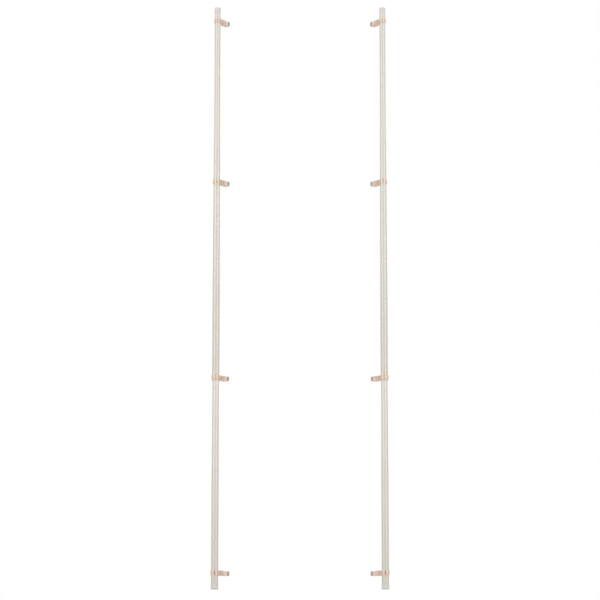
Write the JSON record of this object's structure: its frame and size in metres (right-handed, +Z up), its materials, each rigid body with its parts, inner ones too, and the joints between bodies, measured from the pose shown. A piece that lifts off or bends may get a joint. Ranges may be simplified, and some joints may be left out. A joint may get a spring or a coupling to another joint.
{
  "type": "climbing stick set",
  "caption": "Left-hand and right-hand sectional climbing sticks: slender tapered tubes in push-fit sections, with clamped side steps that fold up.",
  "frame": {"origin": "on the ground, under the middle of the pair", "axes": "+Z up along the tubes, +X from the left stick to the right one, -Y towards the viewer, so the steps turn in and back towards +Y"},
  "size_m": [0.9108, 0.1148, 3.0503],
  "materials": {
    "tube": "pale champagne satin coat with a soft vertical sheen",
    "end_grey": "pale grey moulded plastic, fine matt grain",
    "copper": "tan copper satin coat on pressed steel",
    "step_copper": "paler and pinker copper satin coat on drawn steel",
    "screw_steel": "turned steel",
    "pad_rubber": "taupe brown moulded rubber, darker than the step"
  },
  "bodies": {
    "left_lower_section": {"left_lower_tube": "tube", "left_foot_boot": "end_grey", "left_foot_strap": "copper", "left_foot_saddle": "copper", "left_foot_clamp_screw": "screw_steel", "left_foot_pivot_pin": "copper"},
    "left_middle_section": {"left_middle_tube": "tube", "left_low_strap": "copper", "left_low_saddle": "copper", "left_low_clamp_screw": "screw_steel", "left_low_pivot_pin": "copper"},
    "left_upper_section": {"left_upper_tube": "tube", "left_top_cap": "end_grey", "left_high_strap": "copper", "left_high_saddle": "copper", "left_high_clamp_screw": "screw_steel", "left_high_pivot_pin": "copper", "left_top_strap": "copper", "left_top_saddle": "copper", "left_top_clamp_screw": "screw_steel", "left_top_pivot_pin": "copper"},
    "left_foot_step_arm": {"left_foot_step": "step_copper", "left_foot_pad": "pad_rubber"},
    "left_low_step_arm": {"left_low_step": "step_copper", "left_low_pad": "pad_rubber"},
    "left_high_step_arm": {"left_high_step": "step_copper", "left_high_pad": "pad_rubber"},
    "left_top_step_arm": {"left_top_step": "step_copper", "left_top_pad": "pad_rubber"},
    "right_lower_section": {"right_lower_tube": "tube", "right_foot_boot": "end_grey", "right_foot_strap": "copper", "right_foot_saddle": "copper", "right_foot_clamp_screw": "screw_steel", "right_foot_pivot_pin": "copper"},
    "right_middle_section": {"right_middle_tube": "tube", "right_low_strap": "copper", "right_low_saddle": "copper", "right_low_clamp_screw": "screw_steel", "right_low_pivot_pin": "copper"},
    "right_upper_section": {"right_upper_tube": "tube", "right_top_cap": "end_grey", "right_high_strap": "copper", "right_high_saddle": "copper", "right_high_clamp_screw": "screw_steel", "right_high_pivot_pin": "copper", "right_top_strap": "copper", "right_top_saddle": "copper", "right_top_clamp_screw": "screw_steel", "right_top_pivot_pin": "copper"},
    "right_foot_step_arm": {"right_foot_step": "step_copper", "right_foot_pad": "pad_rubber"},
    "right_low_step_arm": {"right_low_step": "step_copper", "right_low_pad": "pad_rubber"},
    "right_high_step_arm": {"right_high_step": "step_copper", "right_high_pad": "pad_rubber"},
    "right_top_step_arm": {"right_top_step": "step_copper", "right_top_pad": "pad_rubber"}
  },
  "joints": [
    {"name": "left_foot_step_fold", "type": "hinge", "parent": "left_lower_section", "child": "left_foot_step_arm", "pos_m": [-0.41154, -0.00423, 0.082], "axis": [0.8192, -0.5736, 0], "range_deg": [0, 90]},
    {"name": "left_low_step_fold", "type": "hinge", "parent": "left_middle_section", "child": "left_low_step_arm", "pos_m": [-0.41134, -0.00395, 1.084], "axis": [0.8192, -0.5736, 0], "range_deg": [0, 90]},
    {"name": "left_high_step_fold", "type": "hinge", "parent": "left_upper_section", "child": "left_high_step_arm", "pos_m": [-0.41232, -0.00534, 2.114], "axis": [0.8192, -0.5736, 0], "range_deg": [0, 90]},
    {"name": "left_top_step_fold", "type": "hinge", "parent": "left_upper_section", "child": "left_top_step_arm", "pos_m": [-0.41329, -0.00673, 2.979], "axis": [0.8192, -0.5736, 0], "range_deg": [0, 90]},
    {"name": "left_middle_pull_off", "type": "slide", "parent": "left_lower_section", "child": "left_middle_section", "axis": [0, 0, 1], "range_m": [0, 0.115]},
    {"name": "left_upper_pull_off", "type": "slide", "parent": "left_middle_section", "child": "left_upper_section", "axis": [0, 0, 1], "range_m": [0, 0.115]},
    {"name": "right_foot_step_fold", "type": "hinge", "parent": "right_lower_section", "child": "right_foot_step_arm", "pos_m": [0.41154, -0.00423, 0.082], "axis": [0.8192, 0.5736, 0], "range_deg": [0, 90]},
    {"name": "right_low_step_fold", "type": "hinge", "parent": "right_middle_section", "child": "right_low_step_arm", "pos_m": [0.41134, -0.00395, 1.084], "axis": [0.8192, 0.5736, 0], "range_deg": [0, 90]},
    {"name": "right_high_step_fold", "type": "hinge", "parent": "right_upper_section", "child": "right_high_step_arm", "pos_m": [0.41232, -0.00534, 2.114], "axis": [0.8192, 0.5736, 0], "range_deg": [0, 90]},
    {"name": "right_top_step_fold", "type": "hinge", "parent": "right_upper_section", "child": "right_top_step_arm", "pos_m": [0.41329, -0.00673, 2.979], "axis": [0.8192, 0.5736, 0], "range_deg": [0, 90]},
    {"name": "right_middle_pull_off", "type": "slide", "parent": "right_lower_section", "child": "right_middle_section", "axis": [0, 0, 1], "range_m": [0, 0.115]},
    {"name": "right_upper_pull_off", "type": "slide", "parent": "right_middle_section", "child": "right_upper_section", "axis": [0, 0, 1], "range_m": [0, 0.115]},
    {"name": "right_stick_apart", "type": "slide", "parent": "left_lower_section", "child": "right_lower_section", "axis": [1, 0, 0], "range_m": [-0.4, 0.4]}
  ]
}
